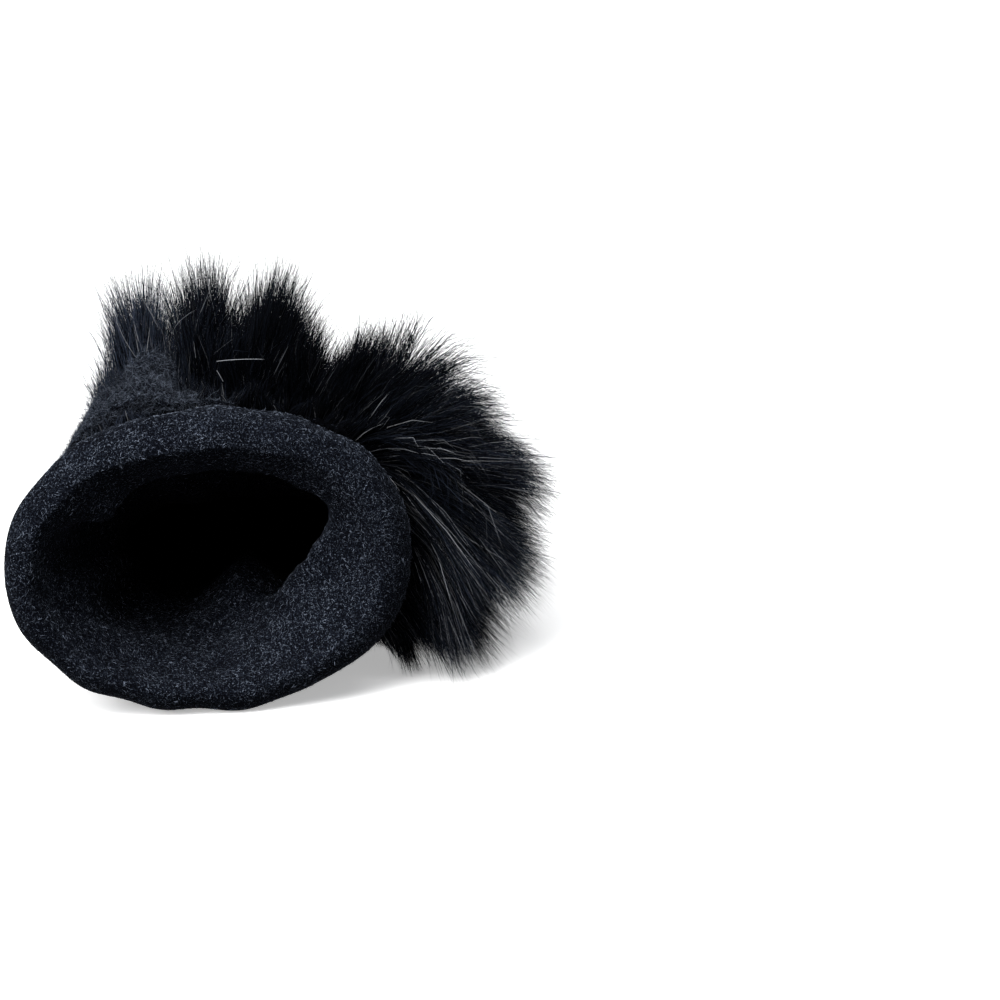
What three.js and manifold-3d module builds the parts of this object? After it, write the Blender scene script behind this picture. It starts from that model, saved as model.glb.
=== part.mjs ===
// A left-hand dress glove lying palm down: a leather hand, a wool lining that is turned out over the
// mouth as a thick soft rim, and a band of long fur round the cuff.
// Millimetres, +Z up. The mouth faces -Y, the fingers point to +Y and the thumb lies on the +X side.
import * as THREE from 'three';
import { mergeVertices } from 'three/addons/utils/BufferGeometryUtils.js';
import Module from 'manifold-3d';

const wasm = await Module();
wasm.setup();

// Driving dimensions
const leatherWall = 1.4;
const liningWall = 2.2;
const peltWall = 1.8;
const sewingGap = 0.3;

const rimBack = 17; // how far the turned-out wool reaches back along the outside
const rimProud = 2.6; // how far it stands outside the leather's surface
const rimCrest = -3.5; // where the fold at the mouth stands furthest forward, off the leather's surface
const rimRound = 3.2; // how far back it rounds on the inside
const rimSlope = 8.5; // and on the outside
const liningDepth = 90; // how far in the lining can be seen, and so is made

const furFront = 19;
const furBack = 62;
const leatherFront = 19;
const knuckleEnd = 171; // where the hand ends between the fingers
const knuckleRound = 15;
const fingerRoot = 148;

const gussetLow = 3.8; // the fourchettes run between these heights
const gussetHigh = 10.2;

// How the mouth is slanted: its top leans back and its thumb side is set back
const leanBack = 0.17;
const sideSlant = 0.16;
const slantEnds = [24, 92];

// Sections of the leather's outer face, a row for each place along the hand
const handRows = [
  { along: -6, centre: 0, halfWidth: 42.0, bottom: 1.6, top: 62.6, upper: 2.2, lower: 2.0 },
  { along: 8, centre: 0, halfWidth: 41.2, bottom: 1.6, top: 62.0, upper: 2.2, lower: 2.0 },
  { along: 22, centre: 0, halfWidth: 39.4, bottom: 1.9, top: 59.5, upper: 2.15, lower: 2.1 },
  { along: 42, centre: 0, halfWidth: 36.4, bottom: 2.3, top: 52.0, upper: 2.1, lower: 2.3 },
  { along: 62, centre: 0, halfWidth: 34.4, bottom: 2.3, top: 42.5, upper: 2.15, lower: 2.4 },
  { along: 80, centre: 0, halfWidth: 34.0, bottom: 0.8, top: 33.5, upper: 2.2, lower: 2.6 },
  { along: 98, centre: 0.2, halfWidth: 36.2, bottom: -0.4, top: 28.0, upper: 2.3, lower: 2.9 },
  { along: 120, centre: 0.6, halfWidth: 41.0, bottom: -0.6, top: 25.0, upper: 2.4, lower: 3.2 },
  { along: 145, centre: 1.0, halfWidth: 44.4, bottom: -0.6, top: 22.5, upper: 2.5, lower: 3.4 },
  { along: 160, centre: 1.0, halfWidth: 44.4, bottom: -0.6, top: 19.5, upper: 2.6, lower: 3.4 },
  { along: 175, centre: 1.0, halfWidth: 43.6, bottom: -0.6, top: 17.0, upper: 2.6, lower: 3.4 },
];

// Height of the seam between the back and the palm
const seamRows = [
  { along: -20, height: 33 },
  { along: 20, height: 31 },
  { along: 42, height: 27 },
  { along: 62, height: 22.4 },
  { along: 80, height: 17 },
  { along: 98, height: 13.6 },
  { along: 120, height: 11.6 },
  { along: 145, height: 9.8 },
  { along: 168, height: 7.4 },
  { along: 300, height: 7.0 },
];

// Fingers: where each starts, its heading from +Y towards the thumb, how far it turns along its
// length, and its size
const fingerRows = [
  { name: 'index', x: 35.6, heading: 7.5, turn: -6, reach: 91, halfWidth: 11.2, height: 14.6 },
  { name: 'middle', x: 12.3, heading: 2, turn: -2.5, reach: 102, halfWidth: 11.4, height: 14.8 },
  { name: 'ring', x: -11.0, heading: -4, turn: 3, reach: 96, halfWidth: 11.0, height: 14.4 },
  { name: 'little', x: -33.4, heading: -11, turn: 7, reach: 78, halfWidth: 9.9, height: 13.2 },
].map((row) => ({ ...row, y: fingerRoot }));
const thumb = { x: 22, y: 98, heading: 42, turn: -27, reach: 82, halfWidth: 12.6, height: 17.0 };
const thumbFlare = 4.5; // how much wider the thumb is at its root, on each side
const tipRound = 12;
const tipTaper = 0.1; // how much narrower a finger is where its tip begins
const rootTaper = 0.14; // and how much narrower where it leaves the hand
const rootLength = 14; // over this length

// Folds of the lining that push into the hollow: where each stands round the mouth, in degrees from
// the thumb side through the top, how wide and deep it is, and where it rises
const foldRows = [
  { angle: -85, spread: 19, depth: 13, rises: 26, full: 54 },
  { angle: 196, spread: 13, depth: 4.5, rises: 10, full: 34 },
  { angle: 112, spread: 20, depth: 5.0, rises: 24, full: 56 },
];
const foldEnds = [62, 88]; // where all the folds flatten out again

// The thick roll round the mouth: how far it stands into the hollow, and how far in it is thickest
const rollRows = [
  { angle: -90, depth: 3, peak: 34 },
  { angle: -75, depth: 7, peak: 30 },
  { angle: -60, depth: 11, peak: 26 },
  { angle: -45, depth: 14.5, peak: 23 },
  { angle: -30, depth: 16, peak: 20 },
  { angle: -15, depth: 16, peak: 18 },
  { angle: 0, depth: 15, peak: 17 },
  { angle: 12, depth: 12.5, peak: 16 },
  { angle: 24, depth: 9.5, peak: 14 },
  { angle: 40, depth: 7.5, peak: 12 },
  { angle: 65, depth: 6.6, peak: 11 },
  { angle: 90, depth: 6.6, peak: 11 },
  { angle: 118, depth: 7.2, peak: 12 },
  { angle: 138, depth: 9.5, peak: 13 },
  { angle: 149, depth: 10, peak: 14 },
  { angle: 158, depth: 5, peak: 15 },
  { angle: 168, depth: 2.5, peak: 16 },
  { angle: 190, depth: 1.5, peak: 18 },
  { angle: 230, depth: 1.5, peak: 24 },
  { angle: 250, depth: 1.5, peak: 30 },
  { angle: 270, depth: 3, peak: 34 },
];
const rollFades = 22; // over this length behind its thickest place

// Fur round the cuff: how far it stands off the pelt, which way it points at the back and at the front
// of the band, in degrees from the thumb side through the top, how much of it stands at the front, and
// how far it droops
const furRows = [
  { angle: -90, length: 1.5, heading: -90, front: -90, face: 1, droop: 0 },
  { angle: -66, length: 2.5, heading: -50, front: -80, face: 1, droop: 0 },
  { angle: -40, length: 7, heading: -40, front: -72, face: 0.8, droop: 0.1 },
  { angle: -24, length: 24, heading: -20, front: -60, face: 0.9, droop: 0.3 },
  { angle: -6, length: 38, heading: 2, front: -42, face: 0.9, droop: 0.55 },
  { angle: 12, length: 43, heading: 29, front: -26, face: 0.9, droop: 0.66 },
  { angle: 28, length: 45, heading: 51, front: -8, face: 0.9, droop: 0.6 },
  { angle: 36, length: 45, heading: 59, front: 10, face: 0.8, droop: 0.5 },
  { angle: 42, length: 43, heading: 65, front: 26, face: 0.6, droop: 0.36 },
  { angle: 47, length: 36, heading: 69, front: 45, face: 0.3, droop: 0.2 },
  { angle: 52, length: 30, heading: 70, front: 60, face: 0.25, droop: 0.12 },
  { angle: 57, length: 36, heading: 64, front: 66, face: 0.2, droop: 0.1 },
  { angle: 63, length: 30, heading: 73, front: 72, face: 0.2, droop: 0.06 },
  { angle: 69, length: 34, heading: 77, front: 78, face: 0.15, droop: 0.05 },
  { angle: 74, length: 34, heading: 79, front: 80, face: 0.15, droop: 0.05 },
  { angle: 80, length: 48, heading: 84, front: 83, face: 0.15, droop: 0.05 },
  { angle: 84, length: 45, heading: 87, front: 84, face: 0.15, droop: 0.05 },
  { angle: 88, length: 36, heading: 87, front: 87, face: 0.25, droop: 0.05 },
  { angle: 93, length: 43, heading: 91, front: 90, face: 0.35, droop: 0.05 },
  { angle: 99, length: 45, heading: 91, front: 92, face: 0.5, droop: 0.04 },
  { angle: 104, length: 38, heading: 87, front: 93, face: 0.7, droop: 0.04 },
  { angle: 108, length: 30, heading: 86, front: 95, face: 0.8, droop: 0.04 },
  { angle: 112, length: 43, heading: 92, front: 95, face: 0.9, droop: 0.04 },
  { angle: 118, length: 48, heading: 94, front: 95, face: 0.9, droop: 0.04 },
  { angle: 124, length: 37, heading: 93, front: 96, face: 0.9, droop: 0.05 },
  { angle: 130, length: 27, heading: 92, front: 96, face: 0.9, droop: 0.05 },
  { angle: 137, length: 19, heading: 88, front: 98, face: 0.9, droop: 0.05 },
  { angle: 146, length: 8, heading: 84, front: 105, face: 0.75, droop: 0.05 },
  { angle: 166, length: 3.5, heading: 100, front: 130, face: 1, droop: 0.1 },
  { angle: 190, length: 4, heading: 180, front: 180, face: 1, droop: 0.1 },
  { angle: 222, length: 4, heading: 226, front: 226, face: 1, droop: 0 },
  { angle: 270, length: 1.5, heading: 270, front: 270, face: 1, droop: 0 },
];
const fluffShare = 0.6; // of the fur's length, what stands as one mass under the locks
// Locks: rows of them along the band, and where round the cuff each lock stands
const lockRows = [
  { along: 26, lean: -0.2, back: 0.1, angles: [36, 26, 14, 2, -10, -20, -30] },
  { along: 40, lean: 0.05, back: 0.7, angles: [126, 118, 112, 98, 94, 81, 57, 42, 34, 24, 12, 0, -12, -24] },
  {
    along: 54, lean: 0.32, back: 1,
    angles: [130, 118, 112, 104, 93, 99, 81, 78, 69, 57, 45, 38, 29, 16, 4, -8, -20],
  },
];
const lockHalfWidth = 7.6; // at its widest, and less on short fur
const lockHalfDepth = 6.2;
const lockOutline = [[0.02, 0.9], [0.5, 1], [0.8, 0.8], [1, 0.34]]; // how far out, and how wide there
const lockLengths = [1, 0.88, 1, 0.94, 0.84]; // taken in turn, as shares of the fur's length

// Facets. The leather and the lining share their sections and facets, so that they stay parallel.
const handPlaces = [leatherFront, 30, 42, 54, 66, 78, 90, 100, 120, 138];
const handFacets = 28;
const fingerFacets = 10;
const furFacets = 36;
const lockFacets = 6;

const leather = new THREE.MeshStandardMaterial({ color: 0x141416, roughness: 0.48, metalness: 0 });
const wool = new THREE.MeshStandardMaterial({ color: 0x20242d, roughness: 0.95, metalness: 0 });
const fur = new THREE.MeshStandardMaterial({ color: 0x14161b, roughness: 0.6, metalness: 0 });

// A smooth curve through one column of a table, read at one place
function columnAt(rows, key, place, column) {
  const last = rows.length - 1;
  let i = rows.findIndex((row) => row[key] > place) - 1;
  if (i < 0) i = place < rows[0][key] ? 0 : last - 1;
  const slopeAt = (k) => {
    const before = rows[Math.max(k - 1, 0)];
    const after = rows[Math.min(k + 1, last)];
    return (after[column] - before[column]) / (after[key] - before[key]);
  };
  const span = rows[i + 1][key] - rows[i][key];
  const t = THREE.MathUtils.clamp((place - rows[i][key]) / span, 0, 1);
  const t2 = t * t;
  const t3 = t2 * t;
  return (2 * t3 - 3 * t2 + 1) * rows[i][column] + (t3 - 2 * t2 + t) * span * slopeAt(i)
    + (3 * t2 - 2 * t3) * rows[i + 1][column] + (t3 - t2) * span * slopeAt(i + 1);
}

const smooth = (x, low, high) => THREE.MathUtils.smoothstep(x, low, high);
const radians = THREE.MathUtils.degToRad;
const turnBetween = (a, b) => Math.abs(((a - b + 540) % 360) - 180);

// A rounded section: half of it above the middle, half below, each with its own squareness
function sectionPoint(angle, halfWidth, bottom, top, upper, lower) {
  const c = Math.cos(angle);
  const s = Math.sin(angle);
  const power = 2 / (s >= 0 ? upper : lower);
  return {
    side: halfWidth * Math.sign(c) * Math.abs(c) ** power,
    z: (top + bottom) / 2 + ((top - bottom) / 2) * Math.sign(s) * Math.abs(s) ** power,
  };
}

// A point of the hand, at a distance off the leather's outer face (less than 0 is inside)
function handPoint(along, angle, off, closing = 1) {
  const at = (column) => columnAt(handRows, 'along', along, column);
  const middle = (at('top') + at('bottom')) / 2;
  const halfHeight = ((at('top') - at('bottom')) / 2 + off) * closing;
  const halfWidth = (at('halfWidth') + off) * (0.75 + 0.25 * closing);
  const p = sectionPoint(angle, halfWidth, middle - halfHeight, middle + halfHeight, at('upper'), at('lower'));
  return new THREE.Vector3(at('centre') + p.side, along, Math.max(p.z, -off, 0));
}

// Quads between rings of equal count. A loop of rings closes on itself, and otherwise its ends are fans.
function ringedGeometry(rings, isLoop = false) {
  const count = rings[0].length;
  const points = rings.flat();
  const index = [];
  const pairs = isLoop ? rings.length : rings.length - 1;
  for (let i = 0; i < pairs; i++) {
    const next = (i + 1) % rings.length;
    for (let j = 0; j < count; j++) {
      const a = i * count + j;
      const d = i * count + ((j + 1) % count);
      const b = next * count + j;
      const c = next * count + ((j + 1) % count);
      index.push(a, b, c, a, c, d);
    }
  }
  if (!isLoop) {
    for (const [ring, flip] of [[0, false], [rings.length - 1, true]]) {
      const centre = new THREE.Vector3();
      rings[ring].forEach((p) => centre.addScaledVector(p, 1 / count));
      points.push(centre);
      for (let j = 0; j < count; j++) {
        const a = ring * count + j;
        const b = ring * count + ((j + 1) % count);
        index.push(points.length - 1, flip ? b : a, flip ? a : b);
      }
    }
  }
  return new THREE.BufferGeometry().setFromPoints(points).setIndex(index);
}

const steps = (from, to, count) => Array.from(
  { length: count + 1 }, (_, i) => from + ((to - from) * i) / count);
const circle = (count) => Array.from({ length: count }, (_, j) => (j / count) * 2 * Math.PI);

function solidFrom(geometry) {
  const plain = geometry.index ? geometry.toNonIndexed() : geometry.clone();
  plain.deleteAttribute('normal');
  plain.deleteAttribute('uv');
  const merged = mergeVertices(plain, 1e-4);
  return new wasm.Manifold(new wasm.Mesh({
    numProp: 3,
    vertProperties: merged.attributes.position.array,
    triVerts: new Uint32Array(merged.index.array),
  }));
}

// The mouth is cut on a slant: points near it move along the hand, the higher and further to the side,
// the more
function slanted(p) {
  const share = 1 - smooth(p.y, ...slantEnds);
  return new THREE.Vector3(p.x, p.y + share * (leanBack * p.z + sideSlant * p.x), p.z);
}

function namedMesh(name, solid, material) {
  const made = solid.getMesh();
  const points = [];
  for (let i = 0; i < made.numVert; i++) {
    const [x, y, z] = made.vertProperties.subarray(i * made.numProp, i * made.numProp + 3);
    points.push(slanted(new THREE.Vector3(x, y, z)));
  }
  const geometry = new THREE.BufferGeometry().setFromPoints(points).setIndex([...made.triVerts]);
  const flat = geometry.toNonIndexed();
  flat.computeVertexNormals();
  const mesh = new THREE.Mesh(flat, material);
  mesh.name = name;
  return mesh;
}

// The hand without fingers, at a distance off the leather's outer face
function handSolid(off, from) {
  const end = knuckleEnd + off;
  const roundFrom = knuckleEnd - knuckleRound;
  const rounding = [0, 0.5, 0.85, 0.99].map((t) => roundFrom + (end - roundFrom) * t);
  const places = [from, ...handPlaces.filter((along) => along > from), ...rounding];
  const rings = places.map((along) => {
    const t = THREE.MathUtils.clamp((along - roundFrom) / (end - roundFrom), 0, 1);
    return circle(handFacets).map((angle) => handPoint(along, angle, off, Math.sqrt(1 - t * t)));
  });
  return solidFrom(ringedGeometry(rings));
}

// A finger or the thumb: a tube along a gently turning line, closed by a round tip
function fingerSolid(row, off, flare = 0) {
  const reach = row.reach + off;
  const tip = tipRound + off;
  const halfHeight = row.height / 2;
  const straight = [0, rootLength, ...steps(32, reach - tip, 2)];
  const round = [0.5, 0.85, 0.99].map((t) => reach - tip + tip * t);
  const line = new THREE.Vector2(row.x, row.y);
  let walked = 0;
  const rings = [...straight, ...round].map((distance) => {
    const heading = radians(row.heading + (row.turn * distance) / row.reach);
    line.x += Math.sin(heading) * (distance - walked);
    line.y += Math.cos(heading) * (distance - walked);
    walked = distance;
    const t = Math.max(0, (distance - (reach - tip)) / tip);
    const closing = Math.sqrt(1 - t * t);
    const taper = 1 - tipTaper * smooth(distance, 0, reach - tip)
      - rootTaper * (1 - smooth(distance, 0, rootLength));
    const widening = flare * (1 - smooth(distance, 10, 46));
    const halfWidth = ((row.halfWidth + widening) * taper + off) * closing;
    const rise = (halfHeight + off) * closing;
    return circle(fingerFacets).map((angle) => {
      const p = sectionPoint(angle, halfWidth, halfHeight - rise - 0.5, halfHeight + rise, 2.2, 2.7);
      return new THREE.Vector3(
        line.x + p.side * Math.cos(heading),
        line.y - p.side * Math.sin(heading),
        Math.max(p.z, -off, 0),
      );
    });
  });
  return solidFrom(ringedGeometry(rings));
}

// All that lies above (or below) the seam between the back and the palm
function besideSeam(above) {
  const far = above ? 120 : -20;
  const shift = (above ? 1 : -1) * (sewingGap / 2);
  const outline = new THREE.Shape();
  outline.moveTo(-20, far);
  for (const { along } of seamRows) {
    outline.lineTo(along, columnAt(seamRows, 'along', along, 'height') + shift);
  }
  outline.lineTo(300, far);
  const slab = new THREE.ExtrudeGeometry(outline, { depth: 300, bevelEnabled: false });
  // The outline is drawn with its x along the hand and its y upwards
  slab.applyMatrix4(new THREE.Matrix4().makeBasis(
    new THREE.Vector3(0, 1, 0), new THREE.Vector3(0, 0, 1), new THREE.Vector3(1, 0, 0)));
  slab.translate(-150, 0, 0);
  return solidFrom(slab);
}

// The space between two fingers' middles that their fourchette fills
function gussetBlock(rightFinger, leftFinger, grow) {
  const edge = (row, towards) => steps(-grow, row.reach - tipRound * 0.55 + grow, 5).map((distance) => {
    const heading = radians(row.heading + (row.turn * distance) / row.reach / 2);
    const inset = towards * (row.halfWidth * 0.4 - grow);
    return new THREE.Vector2(
      row.x + Math.sin(heading) * distance + inset * Math.cos(heading),
      row.y + Math.cos(heading) * distance - inset * Math.sin(heading),
    );
  });
  const outline = new THREE.Shape([...edge(rightFinger, -1), ...edge(leftFinger, 1).reverse()]);
  const height = gussetHigh - gussetLow + 2 * grow;
  const block = new THREE.ExtrudeGeometry(outline, { depth: height, bevelEnabled: false });
  block.translate(0, 0, gussetLow - grow);
  return solidFrom(block);
}

// The tables that go round the cuff run from -90 to 270 degrees
const tableAngle = (degrees) => (degrees >= 270 ? degrees - 360 : degrees);

// How far the roll and the folds push the lining in at one place
function foldDepth(along, degrees) {
  const folds = foldRows.reduce((sum, fold) => {
    const t = turnBetween(degrees, fold.angle) / fold.spread;
    return sum + fold.depth * Math.exp(-t * t) * smooth(along, fold.rises, fold.full);
  }, 0);
  const peak = columnAt(rollRows, 'angle', tableAngle(degrees), 'peak');
  const roll = columnAt(rollRows, 'angle', tableAngle(degrees), 'depth')
    * smooth(along, -2, peak) * (1 - smooth(along, peak, peak + rollFades));
  return folds * (1 - smooth(along, ...foldEnds)) + roll;
}

// The lining is one cloth: in along the hollow's wall, and turned out over the mouth to a raised hem
function liningSolid() {
  const outer = -(leatherWall + sewingGap);
  const inner = outer - liningWall;
  const hemOuter = rimProud;
  const rimInner = inner - 0.6;
  const profile = [];
  // The hem's face and its end, from the fold back
  for (const along of [rimSlope, rimBack - 1.6]) profile.push({ along, off: hemOuter });
  profile.push({ along: rimBack - 0.4, off: hemOuter - 0.8 });
  profile.push({ along: rimBack, off: hemOuter - 2.2 });
  profile.push({ along: rimBack, off: outer });
  const inHand = handPlaces.filter((along) => along > rimBack && along <= liningDepth);
  for (const along of inHand) profile.push({ along, off: outer, folds: true });
  const inHollow = [...inHand, 36, 24, 15, 11].sort((a, b) => b - a);
  for (const along of inHollow) profile.push({ along, off: inner, folds: true });
  profile.push({ along: 6.5, off: rimInner + 0.3, folds: true });
  // The fold at the mouth, from the inside to the outside
  for (const t of [0.56, 0.74]) {
    const off = rimCrest + (rimInner - rimCrest) * Math.sin(Math.PI * t);
    profile.push({ along: rimRound * (1 + Math.cos(Math.PI * t)), off, folds: true });
  }
  for (const t of [1, 1.14, 1.27, 1.39]) {
    const off = rimCrest - (hemOuter - rimCrest) * Math.sin(Math.PI * t);
    profile.push({ along: rimSlope * (1 + Math.cos(Math.PI * t)), off });
  }
  const rings = profile.map(({ along, off, folds }) => circle(handFacets).map((angle) => {
    const pushed = folds ? foldDepth(along, THREE.MathUtils.radToDeg(angle)) : 0;
    return handPoint(along, angle, off - pushed);
  }));
  return solidFrom(ringedGeometry(rings, true));
}

const furAt = (degrees, column) => columnAt(furRows, 'angle', tableAngle(degrees), column);

// How thick the fur's mass is at one place round and along the band
function fluffDepth(along, degrees) {
  const t = THREE.MathUtils.clamp((along - furFront) / (furBack - furFront), 0, 1);
  const face = furAt(degrees, 'face');
  const full = Math.sin(Math.PI * (0.12 + 0.76 * t)) ** 0.7 * (face + (1 - face) * smooth(t, 0.15, 0.55));
  return Math.max(furAt(degrees, 'length'), 0) * fluffShare * full;
}

function furMass() {
  const rings = steps(furFront, furBack, 6).map((along) => circle(furFacets).map((angle) => {
    const degrees = THREE.MathUtils.radToDeg(angle);
    const p = handPoint(along, angle, sewingGap + peltWall);
    const way = radians(furAt(degrees, 'heading'));
    const depth = fluffDepth(along, degrees);
    return new THREE.Vector3(p.x + Math.cos(way) * depth, p.y, Math.max(p.z + Math.sin(way) * depth, 0));
  }));
  return solidFrom(ringedGeometry(rings));
}

// One lock: a curved, flattened cone that leaves the mass and droops towards its tip
function furLock(row, degrees, share) {
  const length = furAt(degrees, 'length') * share;
  const way = radians(THREE.MathUtils.lerp(furAt(degrees, 'front'), furAt(degrees, 'heading'), row.back));
  const droop = furAt(degrees, 'droop') * (0.4 + 0.6 * row.back);
  const fullness = Math.min(1, length / 24);
  const root = handPoint(row.along, radians(degrees), sewingGap + peltWall * 0.5);
  const out = new THREE.Vector3(Math.cos(way), row.lean, Math.sin(way)).normalize();
  const down = new THREE.Vector3(0, 0, -droop);
  const reach = length / out.clone().add(down).length();
  const across = new THREE.Vector3(-Math.sin(way), 0, Math.cos(way));
  const third = new THREE.Vector3().crossVectors(across, out).normalize();
  const rings = lockOutline.map(([t, size]) => {
    const centre = root.clone().addScaledVector(out, reach * t).addScaledVector(down, reach * t * t);
    return circle(lockFacets).map((angle) => centre.clone()
      .addScaledVector(across, lockHalfWidth * fullness * size * Math.cos(angle))
      .addScaledVector(third, lockHalfDepth * fullness * size * Math.sin(angle)));
  });
  return solidFrom(ringedGeometry(rings));
}

function furSolid() {
  const locks = lockRows.flatMap((row) => row.angles.map(
    (degrees, i) => furLock(row, degrees, lockLengths[(i * 2) % lockLengths.length])));
  const keepOut = handSolid(sewingGap, furFront - 30);
  const floor = solidFrom(new THREE.BoxGeometry(400, 400, 200).translate(0, 0, 100));
  return wasm.Manifold.union([furMass(), ...locks]).subtract(keepOut).intersect(floor);
}

// Leather: one shell, cut at its seams
function leatherSolids() {
  const handAndFingers = (off, from) => wasm.Manifold.union([
    handSolid(off, from), ...fingerRows.map((row) => fingerSolid(row, off))]);
  const thumbHollow = fingerSolid(thumb, -leatherWall, thumbFlare);
  const shell = handAndFingers(0, leatherFront)
    .subtract(handAndFingers(-leatherWall, leatherFront - 10))
    .subtract(thumbHollow);

  const pairs = [0, 1, 2].map((i) => [fingerRows[i], fingerRows[i + 1]]);
  const cuts = wasm.Manifold.union(pairs.map(([a, b]) => gussetBlock(a, b, sewingGap)));
  const solids = [
    ['leather_back', shell.intersect(besideSeam(true)).subtract(cuts)],
    ['leather_palm', shell.intersect(besideSeam(false)).subtract(cuts)],
  ];
  for (const [a, b] of pairs) {
    solids.push([`fourchette_${a.name}_${b.name}`, shell.intersect(gussetBlock(a, b, 0))]);
  }

  const thumbTube = fingerSolid(thumb, 0, thumbFlare)
    .subtract(thumbHollow)
    .subtract(handAndFingers(sewingGap, leatherFront));
  solids.push(['leather_thumb', thumbTube]);
  return solids;
}

const glove = new THREE.Group();
glove.name = 'fur_trimmed_glove';
for (const [name, solid] of leatherSolids()) glove.add(namedMesh(name, solid, leather));
glove.add(namedMesh('wool_lining', liningSolid(), wool));
glove.add(namedMesh('fur_band', furSolid(), fur));

// The origin is the middle of the glove's outline, on the surface that it lies on
const bounds = new THREE.Box3().setFromObject(glove);
const centre = bounds.getCenter(new THREE.Vector3());
glove.position.set(-centre.x, -centre.y, -bounds.min.z);

export default glove;
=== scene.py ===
# %% [markdown]
# # A fur-trimmed leather glove
# One left-hand dress glove lies palm down, and we look into its mouth. The wool lining is turned out
# over the mouth as a thick, soft rim. Long dark fur stands round the cuff behind it, and the leather
# hand with its fingers lies behind the fur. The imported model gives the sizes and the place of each
# part, so every mesh below is made straight where it belongs.

# %% Load the frame
import math

import bmesh
import bpy
import numpy as np
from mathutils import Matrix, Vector
from mathutils.bvhtree import BVHTree


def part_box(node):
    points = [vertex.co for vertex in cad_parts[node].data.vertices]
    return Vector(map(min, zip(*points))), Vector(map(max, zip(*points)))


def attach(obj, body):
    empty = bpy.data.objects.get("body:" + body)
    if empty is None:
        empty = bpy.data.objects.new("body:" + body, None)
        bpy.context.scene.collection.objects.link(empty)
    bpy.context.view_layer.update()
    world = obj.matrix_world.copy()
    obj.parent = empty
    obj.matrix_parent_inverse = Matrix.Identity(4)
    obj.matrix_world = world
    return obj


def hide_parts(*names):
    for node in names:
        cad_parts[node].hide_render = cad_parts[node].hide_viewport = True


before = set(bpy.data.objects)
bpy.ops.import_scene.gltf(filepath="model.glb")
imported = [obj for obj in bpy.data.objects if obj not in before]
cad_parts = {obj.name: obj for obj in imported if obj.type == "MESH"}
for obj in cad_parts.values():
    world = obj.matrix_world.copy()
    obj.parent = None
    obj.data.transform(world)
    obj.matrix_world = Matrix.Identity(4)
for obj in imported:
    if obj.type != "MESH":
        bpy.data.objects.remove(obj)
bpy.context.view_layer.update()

# %% [markdown]
# ## The shape as tables
# A glove has no straight edge to measure from, so its form is kept as sections. Each row of a table
# is one place along the hand, or one angle round the cuff, and each column is one size there. A smooth
# curve through a column gives the size at any place between. Angles go round the cuff as seen from
# the mouth: 0 is the thumb's side, 90 the top, 180 the little finger's side. All is in millimetres.

# %% Read a table
def table(names, *rows):
    """A table as named columns; its first column is the place that the others are read by."""
    return {name: np.array(column, float) for name, column in zip(names.split(), zip(*rows))}


def read(columns, name, place):
    """A smooth curve through one column, read at each place."""
    x = next(iter(columns.values()))
    y = columns[name]
    before = np.maximum(np.arange(len(x)) - 1, 0)
    after = np.minimum(np.arange(len(x)) + 1, len(x) - 1)
    slope = (y[after] - y[before]) / (x[after] - x[before])
    i = np.clip(np.searchsorted(x, place, side="right") - 1, 0, len(x) - 2)
    span = x[i + 1] - x[i]
    t = np.clip((place - x[i]) / span, 0, 1)
    start = (2 * t**3 - 3 * t**2 + 1) * y[i] + (t**3 - 2 * t**2 + t) * span * slope[i]
    end = (3 * t**2 - 2 * t**3) * y[i + 1] + (t**3 - t**2) * span * slope[i + 1]
    return start + end


def table_angle(turn):
    """A turn in radians as a table's angle, -90 to 270."""
    return (np.degrees(turn) + 90) % 360 - 90


def smooth(x, low, high):
    """0 below low, 1 above high, and an even rise between."""
    t = np.clip((x - low) / (high - low), 0, 1)
    return t * t * (3 - 2 * t)


# %% Sections of the hand
HAND = table(
    "along centre half_width bottom top upper lower",
    (-6, 0, 42.0, 1.6, 62.6, 2.2, 2.0),
    (8, 0, 41.2, 1.6, 62.0, 2.2, 2.0),
    (22, 0, 39.4, 1.9, 59.5, 2.15, 2.1),
    (42, 0, 36.4, 2.3, 52.0, 2.1, 2.3),
    (62, 0, 34.4, 2.3, 42.5, 2.15, 2.4),
    (80, 0, 34.0, 0.8, 33.5, 2.2, 2.6),
    (98, 0.2, 36.2, -0.4, 28.0, 2.3, 2.9),
    (120, 0.6, 41.0, -0.6, 25.0, 2.4, 3.2),
    (145, 1.0, 44.4, -0.6, 22.5, 2.5, 3.4),
    (160, 1.0, 44.4, -0.6, 19.5, 2.6, 3.4),
    (175, 1.0, 43.6, -0.6, 17.0, 2.6, 3.4),
)


def section(angle, half_width, bottom, top, upper, lower):
    """A rounded section: its upper and lower halves each have their own squareness."""
    c, s = np.cos(angle), np.sin(angle)
    power = 2 / np.where(s >= 0, upper, lower)
    side = half_width * np.sign(c) * np.abs(c) ** power
    height = (top + bottom) / 2 + (top - bottom) / 2 * np.sign(s) * np.abs(s) ** power
    return side, height


def hand_point(along, angle, off=0.0, closing=1.0):
    """A point of the hand, at a distance off the leather's outer face (less than 0 is inside)."""
    top, bottom = read(HAND, "top", along), read(HAND, "bottom", along)
    middle = (top + bottom) / 2
    half_height = ((top - bottom) / 2 + off) * closing
    half_width = (read(HAND, "half_width", along) + off) * (0.75 + 0.25 * closing)
    upper, lower = read(HAND, "upper", along), read(HAND, "lower", along)
    side, height = section(angle, half_width, middle - half_height, middle + half_height, upper, lower)
    height = np.maximum(height, np.maximum(-off, 0))
    return np.stack(np.broadcast_arrays(read(HAND, "centre", along) + side, along, height), -1)


print("hand sections", len(HAND["along"]))

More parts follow.
